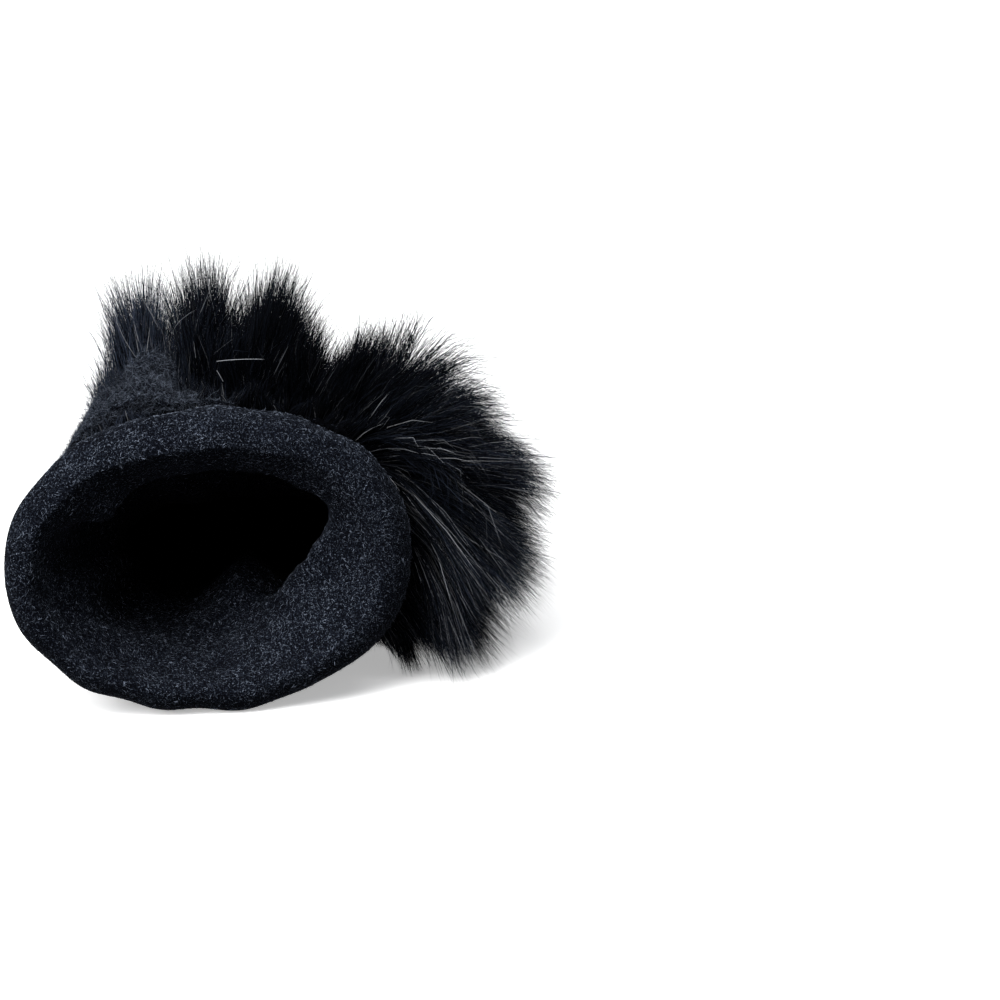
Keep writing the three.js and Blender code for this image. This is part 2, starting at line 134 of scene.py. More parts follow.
# %% [markdown]
# ## From the glove's own millimetres to the frame
# The mouth is cut on a slant: its top leans back, and its thumb side is set back. Near the mouth every
# point therefore slides along the hand, the higher and the further to the side it is, the more. The
# frame has its zero in the middle of the whole outline, so the lining's box tells how far to move.
# The walls and gaps between the layers come here too, because each layer is placed by its distance
# off the leather's outer face.

# %% Slant and place
MM = 0.001
LEAN_BACK = 0.17
SIDE_SLANT = 0.16
SLANT_ENDS = (24, 92)
RIM_ROUND = 3.2
RIM_SLOPE = 8.5
RIM_CREST = -3.5
HEM_OUT = 2.6
MOUTH_HEIGHT = 31
LEATHER_WALL = 1.4
LINING_WALL = 2.2
SEWING_GAP = 0.3
LINING_OUT = -(LEATHER_WALL + SEWING_GAP)
LINING_IN = LINING_OUT - LINING_WALL
RIM_THICKER = 0.6
RIM_IN = LINING_IN - RIM_THICKER


def slanted(points):
    """Slide points near the mouth along the hand."""
    share = 1 - smooth(points[..., 1], *SLANT_ENDS)
    moved = points.copy()
    moved[..., 1] += share * (LEAN_BACK * points[..., 2] + SIDE_SLANT * points[..., 0])
    return moved


lining_low, lining_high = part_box("wool_lining")
round_mouth = np.arange(28) / 28 * 2 * np.pi
front_ring = slanted(hand_point(0.0, round_mouth, RIM_CREST))
OFFSET = np.array([
    (lining_low.x + lining_high.x) / 2,
    lining_low.y - front_ring[:, 1].min() * MM,
    0.0,
])


def in_frame(points):
    """The glove's own millimetres, slanted and moved to the frame's metres."""
    return slanted(points) * MM + OFFSET


print("offset in mm", (OFFSET / MM).round(2))

# %% [markdown]
# ## Camera, floor and light
# The photograph looks a little down into the mouth, about 15 degrees below level. The camera comes
# first, because everything after it is judged through it. Its lens follows from how many millimetres
# one pixel covers at the mouth, and its aim from where the mouth's middle lies in the picture.

# %% Camera
PICTURE = 1000
MM_PER_PIXEL = 0.2146
MOUTH_PIXEL = (205, 583)
ELEVATION = math.radians(15)
DISTANCE = 0.5
SENSOR = 36

camera_data = bpy.data.cameras.new("camera")
camera_data.sensor_width = SENSOR
camera_data.lens = SENSOR * DISTANCE / (MM_PER_PIXEL * MM * PICTURE)
camera = bpy.data.objects.new("camera", camera_data)
bpy.context.collection.objects.link(camera)
bpy.context.scene.camera = camera

forward = Vector((0, math.cos(ELEVATION), -math.sin(ELEVATION)))
right = Vector((1, 0, 0))
up = right.cross(forward)
mouth = Vector((OFFSET[0], OFFSET[1], MOUTH_HEIGHT * MM))
beside = (MOUTH_PIXEL[0] - PICTURE / 2) * MM_PER_PIXEL * MM
below = (MOUTH_PIXEL[1] - PICTURE / 2) * MM_PER_PIXEL * MM
target = mouth - right * beside + up * below
camera.location = target - forward * DISTANCE
camera.rotation_euler = (math.radians(90) - ELEVATION, 0, 0)
print("lens", round(camera_data.lens, 1))

# %% [markdown]
# Black wool and fur show only by small differences, so most of the light comes from one side. A wide
# window lamp high on the left leaves the left wall of the mouth dark and lights the right one. A
# softer ceiling lamp lifts the top of the rim and the tips of the fur, and a small near lamp reaches a
# little way into the hollow. The world round it is dim, because a bright one would lay a grey haze
# over black leather. The floor has a little light of its own and sends none to the glove, so that it
# stays white while the glove stays dark underneath.

# %% Nodes in one line
def add_node(tree, kind, inputs=None, **options):
    """Add a shader node. An input is given a plain value, or is linked to another node's socket."""
    made = tree.nodes.new("ShaderNode" + kind)
    for name, value in options.items():
        setattr(made, name, value)
    for name, value in (inputs or {}).items():
        if isinstance(value, bpy.types.NodeSocket):
            tree.links.new(value, made.inputs[name])
        else:
            made.inputs[name].default_value = value
    return made


def new_material(name):
    """A material with a bare Principled shader."""
    material = bpy.data.materials.new(name)
    material.use_nodes = True
    return material, material.node_tree, material.node_tree.nodes["Principled BSDF"]


def blend_colours(tree, factor, *stops):
    """A colour ramp: each stop is a position and a colour."""
    ramp = add_node(tree, "ValToRGB", {"Fac": factor})
    elements = ramp.color_ramp.elements
    while len(elements) < len(stops):
        elements.new(0.5)
    for element, (position, colour) in zip(elements, stops):
        element.position = position
        element.color = (*colour, 1)
    return ramp.outputs["Color"]


# %% Floor and light
SKY_LOW = 0.02
SKY_HIGH = 0.34
FLOOR_WHITE = 0.97
FLOOR_GLOW = 0.4

bpy.context.scene.view_settings.view_transform = "Standard"
bpy.ops.object.select_all(action="DESELECT")
bpy.ops.mesh.primitive_plane_add(size=20)
floor = bpy.context.object
floor.name = "floor"
floor_material, _, floor_shader = new_material("pale floor")
floor_shader.inputs["Base Color"].default_value = (FLOOR_WHITE, FLOOR_WHITE, FLOOR_WHITE, 1)
floor_shader.inputs["Roughness"].default_value = 0.9
floor_shader.inputs["Emission Color"].default_value = (1, 1, 1, 1)
floor_shader.inputs["Emission Strength"].default_value = FLOOR_GLOW
floor.data.materials.append(floor_material)
floor.visible_diffuse = False

world = bpy.data.worlds.new("soft studio")
world.use_nodes = True
background = world.node_tree.nodes["Background"]
background.inputs["Color"].default_value = (0.93, 0.96, 1.0, 1)
direction = add_node(world.node_tree, "TexCoord").outputs["Generated"]
upward = add_node(world.node_tree, "SeparateXYZ", {"Vector": direction}).outputs["Z"]
sky = add_node(
    world.node_tree, "MapRange",
    {"Value": upward, "From Min": -0.15, "From Max": 0.7, "To Min": SKY_LOW, "To Max": SKY_HIGH})
world.node_tree.links.new(sky.outputs[0], background.inputs["Strength"])
bpy.context.scene.world = world


def add_sun(name, comes_from, strength, spread):
    """A very wide, soft lamp that lights all of the floor alike."""
    lamp_data = bpy.data.lights.new(name, "SUN")
    lamp_data.energy = strength
    lamp_data.angle = math.radians(spread)
    lamp = bpy.data.objects.new(name, lamp_data)
    bpy.context.collection.objects.link(lamp)
    lamp.rotation_euler = Vector(comes_from).to_track_quat("Z", "Y").to_euler()


add_sun("window", (-0.95, -0.9, 1.05), 3.6, 40)
add_sun("ceiling", (0.1, -0.1, 1.0), 1.5, 50)

LAMP_PLACE = Vector((-0.03, -0.1, 0.21))
LAMP_AIM = Vector((0, 0.01, 0.04))
lamp_data = bpy.data.lights.new("near lamp", "AREA")
lamp_data.energy = 0.4
lamp_data.size = 0.12
lamp = bpy.data.objects.new("near lamp", lamp_data)
bpy.context.collection.objects.link(lamp)
lamp.location = Vector(OFFSET) + LAMP_PLACE
lamp.rotation_euler = (LAMP_PLACE - LAMP_AIM).to_track_quat("Z", "Y").to_euler()

# %% [markdown]
# ## Helpers for soft meshes
# A torus is already a closed wall with an inside and an outside, which is what a turned-out lining
# or a band of pelt is. So each of these starts as a torus primitive, and every vertex is then moved
# to where its turn round the ring and its turn round the tube put it on the glove.

# %% Bend a torus
def bend_torus(name, around, across, place):
    """Add a torus and move each vertex to place(turn, share): its angle round the cuff and its
    share of the way round the wall."""
    ring, tube = 0.1, 0.03
    bpy.ops.object.select_all(action="DESELECT")
    bpy.ops.mesh.primitive_torus_add(
        major_segments=around, minor_segments=across, major_radius=ring, minor_radius=tube)
    made = bpy.context.object
    made.name = name
    count = len(made.data.vertices)
    flat = np.empty(count * 3)
    made.data.vertices.foreach_get("co", flat)
    x, y, z = flat.reshape(-1, 3).T
    turn = np.arctan2(y, x)
    share = np.arctan2(z, np.hypot(x, y) - ring) / (2 * np.pi) % 1
    made.data.vertices.foreach_set("co", in_frame(place(turn, share)).ravel())
    bpy.ops.object.mode_set(mode="EDIT")
    bpy.ops.mesh.select_all(action="SELECT")
    bpy.ops.mesh.normals_make_consistent(inside=False)
    bpy.ops.object.mode_set(mode="OBJECT")
    bpy.ops.object.shade_smooth()
    return made


def soft_noise(points, size, seed, waves=9):
    """Gentle lumps about as wide as size, from a few crossing waves; about -1 to 1."""
    draw = np.random.default_rng(seed)
    ways = draw.normal(size=(waves, 3))
    ways *= draw.uniform(0.6, 1.4, (waves, 1)) / np.linalg.norm(ways, axis=1, keepdims=True)
    phases = draw.uniform(0, 2 * np.pi, waves)
    return np.sin(points @ ways.T * (np.pi / size) + phases).sum(-1) / math.sqrt(waves) * 0.8


def finish_piece(piece, material, slot, *nodes):
    """Give a finished piece its material and its body, and hide the imported parts that it stands for."""
    piece.data.materials.clear()
    piece.data.materials.append(material)
    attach(piece, "root")
    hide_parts(*nodes)
    triangles = sum(len(face.vertices) - 2 for face in piece.data.polygons)
    print(piece.name, triangles, "triangles")


# %% [markdown]
# ## The wool
# The lining is a brushed wool: a dense, dull cloth whose short hairs lie every way, so that it looks
# grainy from near and soft from afar. Its hairs are too many to model. A node group draws them
# instead: noise that is stretched along one way looks like short hairs that lie that way, and the
# strongest of several such layers, each turned another way, looks like a felt of hairs.

# %% Node group: lying hairs
HAIR_TURNS = ((0.3, 0.2, 0.1), (1.2, 0.5, 0.9), (0.4, 1.3, 2.1), (2.0, 0.9, 0.5), (1.0, 2.2, 1.6))
HAIR_STRETCH = 3.2


def lying_hairs_group():
    """Short hairs that lie every way, as a mask from 0, between hairs, to 1, on a hair."""
    group = bpy.data.node_groups.new("lying hairs", "ShaderNodeTree")
    group.interface.new_socket("Vector", in_out="INPUT", socket_type="NodeSocketVector")
    group.interface.new_socket("Fineness", in_out="INPUT", socket_type="NodeSocketFloat")
    group.interface.new_socket("Mask", in_out="OUTPUT", socket_type="NodeSocketFloat")
    entry = group.nodes.new("NodeGroupInput")
    result = None
    for turn in HAIR_TURNS:
        turned = add_node(
            group, "Mapping",
            {"Vector": entry.outputs["Vector"], "Rotation": turn, "Scale": (1, 1, HAIR_STRETCH)},
            vector_type="TEXTURE")
        layer = add_node(
            group, "TexNoise",
            {"Vector": turned.outputs[0], "Scale": entry.outputs["Fineness"], "Detail": 1.5,
             "Roughness": 0.55})
        value = layer.outputs["Fac"]
        if result is not None:
            value = add_node(group, "Math", {0: result, 1: value}, operation="MAXIMUM").outputs[0]
        result = value
    spread = add_node(
        group, "MapRange", {"Value": result, "From Min": 0.55, "From Max": 0.8}, clamp=True)
    leave = group.nodes.new("NodeGroupOutput")
    group.links.new(spread.outputs[0], leave.inputs["Mask"])
    return group


lying_hairs = lying_hairs_group()


# %% Wool material
WOOL_FINENESS = 3000
MIDDLE_GREY = (0.0105, 0.0135, 0.0215)


def wool_material():
    """Near-black navy wool with a grain of lighter blue-grey hairs."""
    material, tree, shader = new_material("brushed wool")
    place = add_node(tree, "TexCoord").outputs["Object"]
    hairs = add_node(tree, "Group", node_tree=lying_hairs)
    tree.links.new(place, hairs.inputs["Vector"])
    hairs.inputs["Fineness"].default_value = WOOL_FINENESS
    cloud = add_node(tree, "TexNoise", {"Vector": place, "Scale": 130, "Detail": 3})
    patches = add_node(
        tree, "MapRange",
        {"Value": cloud.outputs["Fac"], "From Min": 0.3, "From Max": 0.7, "To Min": -0.09,
         "To Max": 0.09})
    tone = add_node(tree, "Math", {0: hairs.outputs["Mask"], 1: patches.outputs[0]}, operation="ADD")
    colour = blend_colours(
        tree, tone.outputs[0],
        (0.12, (0.0012, 0.0015, 0.0026)),
        (0.5, MIDDLE_GREY),
        (0.9, (0.13, 0.152, 0.19)))
    tree.links.new(colour, shader.inputs["Base Color"])
    bump = add_node(
        tree, "Bump", {"Height": hairs.outputs["Mask"], "Strength": 0.9, "Distance": 0.35 * MM})
    tree.links.new(bump.outputs[0], shader.inputs["Normal"])
    shader.inputs["Roughness"].default_value = 0.95
    shader.inputs["Specular IOR Level"].default_value = 0.02
    return material


wool = wool_material()
print("wool nodes", len(wool.node_tree.nodes))

# %% [markdown]
# ## The lining
# One cloth goes in along the hand, comes back, rolls over at the mouth and lies outside as a hem. Its
# cut is a closed line of places along the hand and distances off the leather, and the folds that the
# photograph shows push its inner side into the hollow: a bump on the floor, a small fold on the left
# wall and a wide one at the top left. Each fold is centred at an angle and spread round it, and rises
# between two places along the hand. A thick lip round the whole mouth comes from a table of its own.

# %% Folds and the lining's cut
RIM_BACK = 17
HEM_ROUND = 2.2
WALL_EASES = 12
LINING_DEPTH = 90
FOLDS = (
    # angle, spread, depth, rises, full
    (-85, 19, 13, 26, 54),
    (196, 13, 4.5, 10, 34),
    (112, 20, 5.0, 24, 56),
)
FOLD_ENDS = (62, 88)
ROLL = table(
    "angle depth peak",
    (-90, 3, 34), (-75, 7, 30), (-60, 11, 26), (-45, 14.5, 23), (-30, 16, 20), (-15, 16, 18),
    (0, 15, 17), (12, 12.5, 16), (24, 9.5, 14), (40, 7.5, 12), (65, 6.6, 11), (90, 6.6, 11),
    (118, 7.2, 12), (138, 9.5, 13), (149, 10, 14), (158, 5, 15), (168, 2.5, 16), (190, 1.5, 18),
    (230, 1.5, 24), (250, 1.5, 30), (270, 3, 34),
)
ROLL_FADES = 22


def fold_depth(along, turn):
    """How far the folds push the lining in at one place."""
    angle = table_angle(turn)
    total = 0
    for at, spread, depth, rises, full in FOLDS:
        apart = np.abs((angle - at + 540) % 360 - 180) / spread
        total = total + depth * np.exp(-apart**2) * smooth(along, rises, full)
    peak = read(ROLL, "peak", angle)
    lip = read(ROLL, "depth", angle) * smooth(along, -2, peak)
    lip = lip * (1 - smooth(along, peak, peak + ROLL_FADES))
    return total * (1 - smooth(along, *FOLD_ENDS)) + lip


def lining_cut():
    """The cloth's closed cut: places along the hand, distances off it and how far folds act."""
    inside = np.linspace(0.5, 1.0, 12)[:-1] * np.pi
    outside = np.linspace(1.0, 1.5, 14) * np.pi
    hem = np.linspace(RIM_SLOPE, RIM_BACK - HEM_ROUND, 10)[1:]
    end = np.linspace(0, 1, 8)[1:] * np.pi / 2
    stretches = (
        # the fold at the mouth, from inside to outside
        (RIM_ROUND * (1 + np.cos(inside)), RIM_CREST + (RIM_IN - RIM_CREST) * np.sin(inside), 1),
        (RIM_SLOPE * (1 + np.cos(outside)), RIM_CREST - (HEM_OUT - RIM_CREST) * np.sin(outside), 0),
        # the hem's face
        (hem, HEM_OUT, 0),
        # the hem's rounded end
        (RIM_BACK - HEM_ROUND + HEM_ROUND * np.sin(end), HEM_OUT - HEM_ROUND * (1 - np.cos(end)), 0),
        # along the leather's inner face, in to the end of what is made, and back inside
        (np.linspace(RIM_BACK, LINING_DEPTH, 14), LINING_OUT, 1),
        (np.linspace(LINING_DEPTH, WALL_EASES, 56), LINING_IN, 1),
        # forward to the rim, where the wall thickens
        (np.linspace(WALL_EASES, RIM_ROUND, 10)[1:-1], np.linspace(LINING_IN, RIM_IN, 10)[1:-1], 1),
    )
    parts = [np.broadcast_arrays(*map(np.asarray, stretch)) for stretch in stretches]
    return [np.concatenate(column).astype(float) for column in zip(*parts)]


# %% Make the lining
cut_along, cut_off, cut_folds = lining_cut()


def lining_place(turn, share):
    """A point of the lining from its turn round the mouth and its share of the cut."""
    k = np.rint(share * len(cut_along)).astype(int) % len(cut_along)
    along, off, folds = cut_along[k], cut_off[k], cut_folds[k]
    base = hand_point(along, turn, off)
    lumps = 0.42 * soft_noise(base, 9, 1) + 0.5 * soft_noise(base, 23, 2)
    shown = np.abs(off - LINING_OUT) > 0.01
    pushed = folds * fold_depth(along, turn)
    return hand_point(along, turn, off - pushed + lumps * shown)


lining = bend_torus("wool_lining_cloth", 240, len(cut_along), lining_place)
finish_piece(lining, wool, "wool", "wool_lining")

# %% [markdown]
# ## Fur
# Long fur is a dark mass near the skin with separate hairs outside it. The mass is a closed band of
# pelt, and on it stand many thin ribbons, each a real hair or a few that lie together. Which way the
# fur points and how long it is comes from one table, so that the mass and the hairs agree. Heading is
# where tips point as seen from the mouth. The hairs at the band's front have a heading and a share of
# the length of their own, because they lie round the hem. Fleece is how thick the mass is, and face
# how much of that it has at the front. Shade scales how light hairs are: below 1 it is painted shade
# on hairs that stand in shadow, low across the top, and above 1 it makes the top left a lighter grey.
# Pale says how many of the longer, pale-tipped hairs stand there; their tips are painted glints.

# %% How the fur lies
FUR_FRONT = 18
FUR_BACK = 62
PELT_WALL = 1.8
OUTER_SHARE = 0.8
INNER_SHARE = 0.2
FUR = table(
    "angle length heading front_heading front_share droop fleece face shade pale",
    (-90, 1.5, -90, -90, 1, 0.0, 0.8, 1, 1, 1),
    (-66, 2.5, -50, -80, 1, 0.0, 1, 1, 1, 1),
    (-40, 7, -40, -72, 0.8, 0.1, 2, 1, 1, 1),
    (-24, 24, -20, -60, 0.85, 0.3, 5, 0.9, 0.9, 1),
    (-6, 38, 2, -42, 0.9, 0.55, 7, 0.9, 0.9, 1),
    (12, 43, 29, -26, 0.95, 0.66, 7, 0.9, 0.9, 1),
    (28, 45, 51, -8, 0.95, 0.6, 7, 0.9, 0.9, 0.9),
    (36, 45, 59, 10, 0.8, 0.5, 7, 0.8, 0.75, 0.7),
    (42, 43, 65, 26, 0.5, 0.36, 6, 0.6, 0.45, 0.5),
    (47, 36, 69, 45, 0.3, 0.2, 5, 0.3, 0.28, 0.4),
    (52, 30, 70, 60, 0.25, 0.12, 4, 0.25, 0.2, 0.3),
    (57, 36, 64, 66, 0.25, 0.1, 4, 0.2, 0.16, 0.15),
    (63, 30, 73, 72, 0.2, 0.06, 5, 0.2, 0.16, 0.15),
    (69, 34, 77, 78, 0.15, 0.05, 6, 0.15, 0.2, 0.15),
    (74, 34, 79, 80, 0.15, 0.05, 6, 0.15, 0.22, 0.15),
    (80, 48, 84, 83, 0.15, 0.05, 6, 0.15, 0.24, 0.15),
    (84, 45, 87, 84, 0.15, 0.05, 7.5, 0.15, 0.3, 0.15),
    (88, 34, 87, 87, 0.15, 0.05, 10, 0.25, 0.45, 0.2),
    (93, 43, 91, 90, 0.15, 0.05, 13, 0.35, 0.55, 0.25),
    (99, 45, 91, 92, 0.15, 0.04, 15, 0.5, 0.75, 0.35),
    (104, 36, 85, 93, 0.15, 0.04, 16, 0.7, 1.2, 0.4),
    (108, 26, 88, 95, 0.15, 0.04, 17, 0.8, 1.9, 0.4),
    (112, 41, 94, 95, 0.15, 0.04, 18, 0.9, 2.7, 0.4),
    (118, 48, 94, 95, 0.15, 0.04, 18, 0.9, 3, 0.4),
    (124, 37, 93, 96, 0.15, 0.05, 17, 0.9, 3, 0.4),
    (130, 27, 92, 96, 0.2, 0.05, 15, 0.9, 3, 0.4),
    (137, 19, 88, 98, 0.25, 0.05, 11, 0.9, 2.2, 0.4),
    (146, 8, 84, 105, 0.6, 0.05, 4, 1, 1, 0.3),
    (166, 3.5, 100, 130, 1, 0.1, 1.5, 1, 1, 0.3),
    (190, 4, 180, 180, 1, 0.1, 1.5, 1, 1, 0.3),
    (222, 4, 226, 226, 1, 0.0, 1.5, 1, 1, 0.3),
    (270, 1.5, 270, 270, 1, 0.0, 0.8, 1, 1, 0.3),
)


def fur_mass_place(turn, share):
    """A point of the band of pelt: out along the fur on its outer side, back on the leather."""
    outer = share < OUTER_SHARE
    v = np.where(outer, share / OUTER_SHARE, (1 - share) / INNER_SHARE)
    along = FUR_FRONT + v * (FUR_BACK - FUR_FRONT)
    degrees = table_angle(turn)
    skin = hand_point(along, turn, SEWING_GAP + np.where(outer, PELT_WALL, 0))
    fleece = np.maximum(read(FUR, "fleece", degrees), 0)
    way = np.radians(read(FUR, "heading", degrees))
    full = np.sin(np.pi * (0.06 + 0.88 * v)) ** 0.7
    face = read(FUR, "face", degrees)
    full = full * (face + (1 - face) * smooth(v, 0.15, 0.55))
    tufts = np.minimum(fleece / 4, 1) * (soft_noise(skin, 5, 11) + 0.5 * soft_noise(skin, 2.2, 12))
    depth = np.where(outer, np.maximum(fleece * full + tufts, 0), 0)
    grown = skin + np.stack([np.cos(way) * depth, 0 * depth, np.sin(way) * depth], -1)
    grown[..., 2] = np.maximum(grown[..., 2], 0)
    return grown


# %% Where the fleece is
def vertex_array(mesh):
    """A mesh's vertices as an array."""
    flat = np.empty(len(mesh.vertices) * 3)
    mesh.vertices.foreach_get("co", flat)
    return flat.reshape(-1, 3)


def low_on_left(spots):
    """The front of the band, from the top to the little finger's side."""
    x = spots[:, 0] - OFFSET[0] / MM
    y = spots[:, 1] - OFFSET[1] / MM - LEAN_BACK * spots[:, 2] - SIDE_SLANT * x
    angle = np.degrees(np.arctan2(spots[:, 2] - MOUTH_HEIGHT, x))
    return smooth(angle, 78, 100) * (1 - smooth(angle, 165, 180)) * (1 - smooth(y, 34, 50)) + 0.02


# %% Fur materials
def fur_material(name, low, high, roughness, shine=0.01):
    """Dark hair; each hair carries its own tone from root to tip, with painted shade at the root."""
    material, tree, shader = new_material(name)
    tone = add_node(tree, "Attribute", attribute_name="tone").outputs["Fac"]
    colour = blend_colours(tree, tone, (0.0, low), (1.0, high))
    tree.links.new(colour, shader.inputs["Base Color"])
    shader.inputs["Roughness"].default_value = roughness
    shader.inputs["Specular IOR Level"].default_value = shine
    return material


PELT_FINENESS = 2200


def pelt_material():
    """The close under-hair between the long hairs, nearly black."""
    material, tree, shader = new_material("pelt")
    place = add_node(tree, "TexCoord").outputs["Object"]
    hairs = add_node(tree, "Group", node_tree=lying_hairs)
    tree.links.new(place, hairs.inputs["Vector"])
    hairs.inputs["Fineness"].default_value = PELT_FINENESS
    light = add_node(tree, "Attribute", attribute_name="tone").outputs["Fac"]
    tone = add_node(tree, "Math", {0: hairs.outputs["Mask"], 1: light}, operation="MULTIPLY")
    colour = blend_colours(
        tree, tone.outputs[0],
        (0.05, (0.0008, 0.001, 0.0016)),
        (0.5, MIDDLE_GREY),
        (0.9, (0.12, 0.14, 0.18)))
    tree.links.new(colour, shader.inputs["Base Color"])
    bump = add_node(
        tree, "Bump", {"Height": hairs.outputs["Mask"], "Strength": 0.9, "Distance": 0.5 * MM})
    tree.links.new(bump.outputs[0], shader.inputs["Normal"])
    shader.inputs["Roughness"].default_value = 0.9
    shader.inputs["Specular IOR Level"].default_value = 0.02
    return material


pelt = bend_torus("fur_pelt", 180, 60, fur_mass_place)
pelt_spots = vertex_array(pelt.data) / MM
pelt_tone = pelt.data.attributes.new("tone", "FLOAT", "POINT")
pelt_tone.data.foreach_set("value", 0.2 + 0.75 * low_on_left(pelt_spots))
finish_piece(pelt, pelt_material(), "fur", "fur_band")

# %% [markdown]
# ### Hairs
# A hair is a ribbon of three short lengths that narrows to a point: two quads and a triangle. Hairs
# gather in tufts, whose tips lean together, and every tuft has its own length and way. All hairs of a
# piece are worked out at once as arrays, because a hundred thousand separate objects would never
# load.

# %% Make ribbons
def hair_mesh(name, roots, ways, lengths, bends, widths, tones, seed, parts=3, shaded_root_tone=0.05,
              root_power=1.8, to_frame=in_frame):
    """One mesh of ribbons with so many parts each. A hair leaves its root along its way and bends as it
    goes, and its tone rises from dark at the root: painted shade down among the other hairs."""
    draw = np.random.default_rng(seed)
    count = len(roots)
    lengths = lengths / np.maximum(np.linalg.norm(ways + bends, axis=1), 0.6)
    share = np.linspace(0, 1, parts + 1) ** 0.9
    t = share[None, :, None]
    line = roots[:, None] + lengths[:, None, None] * (ways[:, None] * t + bends[:, None] * t**2)
    line[..., 2] = np.maximum(line[..., 2], 0.15 + 0.5 * draw.random((count, 1)))
    side = np.cross(ways + bends, draw.normal(size=(count, 3)))
    side /= np.linalg.norm(side, axis=1, keepdims=True)
    taper = 1 - 0.6 * share[:-1] ** 1.5
    spread = side[:, None] * (widths[:, None] * taper / 2)[..., None]
    points = np.empty((count, 2 * parts + 1, 3))
    points[:, 0:-1:2] = line[:, :-1] - spread
    points[:, 1:-1:2] = line[:, :-1] + spread
    points[:, -1] = line[:, -1]
    points[..., 2] = np.maximum(points[..., 2], 0.05)
    k = np.arange(parts - 1)[:, None] * 2
    corners = np.concatenate([k + (0, 1, 3), k + (0, 3, 2), [[2 * parts - 2, 2 * parts - 1, 2 * parts]]])
    faces = (np.arange(count)[:, None, None] * (2 * parts + 1) + corners).reshape(-1, 3)
    mesh = bpy.data.meshes.new(name)
    mesh.from_pydata(to_frame(points.reshape(-1, 3)), [], faces)
    # The tone is darker towards the root: painted shade down among the other hairs.
    rise = shaded_root_tone + (1 - shaded_root_tone) * np.append(np.repeat(share[:-1], 2), 1) ** root_power
    attribute = mesh.attributes.new("tone", "FLOAT", "POINT")
    attribute.data.foreach_set("value", (tones[:, None] * rise).ravel())
    mesh.shade_smooth()
    piece = bpy.data.objects.new(name, mesh)
    bpy.context.collection.objects.link(piece)
    return piece


# %% Grow the fur
FUR_SEED = 42
TUFTS = 300
HAIRS = 31000
FUR_PIECES = 3
GUARD_HAIRS = 11000
SHORTEST_HAIR = 2.5
MOST_BEND = 0.9
LOOSE_BEND = 0.11


def pick_roots(draw, count, pale=False):
    """Where hairs stand: more of them where the fur is long, or where there are more of the pale-tipped
    ones, whose tips are painted glints.
    """
    degrees = np.linspace(-62, 240, 600)
    weight = np.clip(read(FUR, "length", degrees), 2, None) + 7
    if pale:
        weight = weight * read(FUR, "pale", degrees)
    edges = np.cumsum(weight) / weight.sum()
    turn = np.radians(np.interp(draw.random(count), edges, degrees))
    along = FUR_FRONT + 0.5 + draw.random(count) * (FUR_BACK - FUR_FRONT - 1)
    return turn, along


def way_across(heading, lean):
    """A way with a heading across the cuff, and a lean along the hand."""
    return np.stack([np.cos(heading), lean + 0 * heading, np.sin(heading)], -1)


def lay_hair(turn, along):
    """The way, length and droop of the fur at each root."""
    degrees = table_angle(turn)
    v = (along - FUR_FRONT) / (FUR_BACK - FUR_FRONT)
    back = smooth(v, 0.05, 0.6)
    heading = np.radians(
        read(FUR, "heading", degrees) * back + read(FUR, "front_heading", degrees) * (1 - back))
    upright = np.clip(np.sin(heading), 0, 1)
    lean = (v - 0.35) * 0.9 + 0.22 * upright * (1 - back)
    way = way_across(heading, lean)
    way /= np.linalg.norm(way, axis=-1, keepdims=True)
    length = np.maximum(read(FUR, "length", degrees), SHORTEST_HAIR)
    front = read(FUR, "front_share", degrees)
    length = length * (front + (1 - front) * smooth(v, 0.1, 0.5))
    droop = read(FUR, "droop", degrees)
    return way, length, droop


def grow(name, seed, count, size, spread, width, tone_range, pull, tone_power=3.6, pale=False,
         shaded_root_tone=0.05, root_power=1.8):
    """One piece of fur. Size is a share of the fur's length, and pull is how far hairs lean to the
    tip of their tuft."""
    tuft_draw = np.random.default_rng(FUR_SEED)
    tuft_turn, tuft_along = pick_roots(tuft_draw, TUFTS)
    tuft_way, tuft_length, _ = lay_hair(tuft_turn, tuft_along)
    free = 0.07 + 0.13 * (1 - smooth(table_angle(tuft_turn), 42, 60))
    tuft_way = tuft_way + tuft_draw.normal(size=(TUFTS, 3)) * np.stack([free, 0 * free + 0.2, free], 1)
    tuft_root = hand_point(tuft_along, tuft_turn, PELT_WALL)
    tuft_share = 1.05 - 0.4 * tuft_draw.random(TUFTS) ** 1.6
    tuft_tip = tuft_root + tuft_way * (tuft_length * tuft_share)[:, None]

    draw = np.random.default_rng(seed)
    turn, along = pick_roots(draw, count, pale)
    root = hand_point(along, turn, PELT_WALL)
    way, length, droop = lay_hair(turn, along)
    nearest = np.array([np.argmin(((tuft_root - point) ** 2).sum(1)) for point in root])
    length = length * tuft_share[nearest] * (size[1] - (size[1] - size[0]) * draw.random(count) ** 1.5)
    way = way + draw.normal(size=(count, 3)) * (spread, 0.2, spread)
    way /= np.linalg.norm(way, axis=1, keepdims=True)
    to_tuft = tuft_tip[nearest] - (root + way * length[:, None])
    bend = np.clip(pull * to_tuft / length[:, None], -MOST_BEND, MOST_BEND)
    bend[:, 2] -= droop
    bend += draw.normal(scale=LOOSE_BEND, size=(count, 3))
    tones = tone_range[0] + (tone_range[1] - tone_range[0]) * draw.random(count) ** tone_power
    # Shade paints shade into hairs that stand in shadow, low across the top, and makes the top left
    # lighter; pale-tipped hairs are only darkened by it.
    shade = read(FUR, "shade", table_angle(turn))
    tones = tones * (np.minimum(shade, 1) if pale else shade)
    widths = width * draw.uniform(0.7, 1.3, count)
    return hair_mesh(
        name, root, way, length, bend, widths, tones, seed + 100, shaded_root_tone=shaded_root_tone,
        root_power=root_power)


